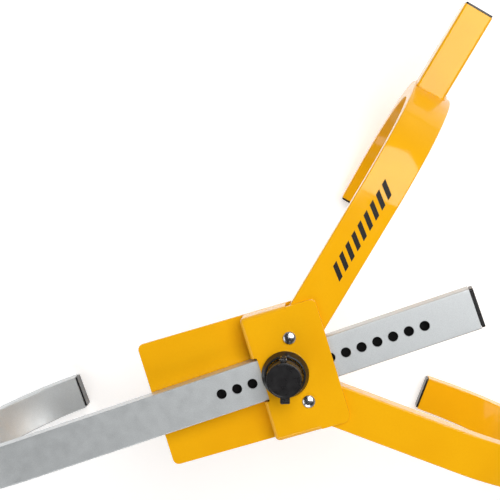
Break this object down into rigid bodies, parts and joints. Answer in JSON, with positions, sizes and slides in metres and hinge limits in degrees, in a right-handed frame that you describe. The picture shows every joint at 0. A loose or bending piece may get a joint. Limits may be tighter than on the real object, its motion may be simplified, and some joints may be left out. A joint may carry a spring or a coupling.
{
  "type": "wheel clamp",
  "caption": "Claw wheel clamp: a folded hub with angled claw arms, a sliding perforated bar that carries the opposite claw, and a push-in pin lock under a hinged dust cap.",
  "frame": {"origin": "on the locking pin's axis, at the rear face of the hub's back plate", "axes": "+X along the sliding bar towards its free end, +Y towards the arm with the extension tube, +Z out of the hub's front, away from the wheel"},
  "size_m": [0.7006, 0.5022, 0.2865],
  "materials": {
    "yellow_paint": "glossy powder coat",
    "silver_paint": "satin metallic coat",
    "black_plastic": "satin moulded",
    "zinc_plate": "bright zinc plated",
    "bare_steel": "oiled",
    "brass": "turned"
  },
  "bodies": {
    "hub": {"back_plate": "yellow_paint", "cover": "yellow_paint", "upper_arm": "yellow_paint", "lower_arm": "yellow_paint", "extension_tube": "yellow_paint", "extension_plug": "black_plastic", "upper_claw_plug": "black_plastic", "lower_claw_plug": "black_plastic", "carriage_bolt_upper": "zinc_plate", "carriage_bolt_lower": "zinc_plate", "washer_upper": "zinc_plate", "washer_lower": "zinc_plate", "nut_upper": "zinc_plate", "nut_lower": "zinc_plate", "spacer_upper": "bare_steel", "spacer_lower": "bare_steel", "lock_collar": "black_plastic", "guide_sleeve": "bare_steel", "lock_spring": "bare_steel"},
    "bar": {"slide_bar": "silver_paint", "bar_end_plug": "black_plastic", "bar_claw_plug": "black_plastic"},
    "lock": {"lock_barrel": "black_plastic", "lock_cylinder": "zinc_plate", "locking_pin": "bare_steel", "dust_cap_pin": "bare_steel"},
    "key": {"key_plug": "brass"},
    "cap": {"dust_cap": "black_plastic"}
  },
  "joints": [
    {"name": "bar_slide", "type": "slide", "parent": "hub", "child": "bar", "axis": [1, 0, 0], "range_m": [-0.144, 0.064]},
    {"name": "lock_push", "type": "slide", "parent": "hub", "child": "lock", "axis": [0, 0, -1], "range_m": [0, 0.008], "stiffness_N_per_m": 800, "springref_m": -0.01, "deforming": ["lock_spring"]},
    {"name": "key_turn", "type": "hinge", "parent": "lock", "child": "key", "pos_m": [0.0019, -0.0007, 0.0552], "axis": [0, 0, -1], "range_deg": [0, 90]},
    {"name": "dust_cap_hinge", "type": "hinge", "parent": "lock", "child": "cap", "pos_m": [0.00783, 0.01871, 0.0564], "axis": [-0.9563, 0.2924, 0], "range_deg": [0, 120]}
  ]
}
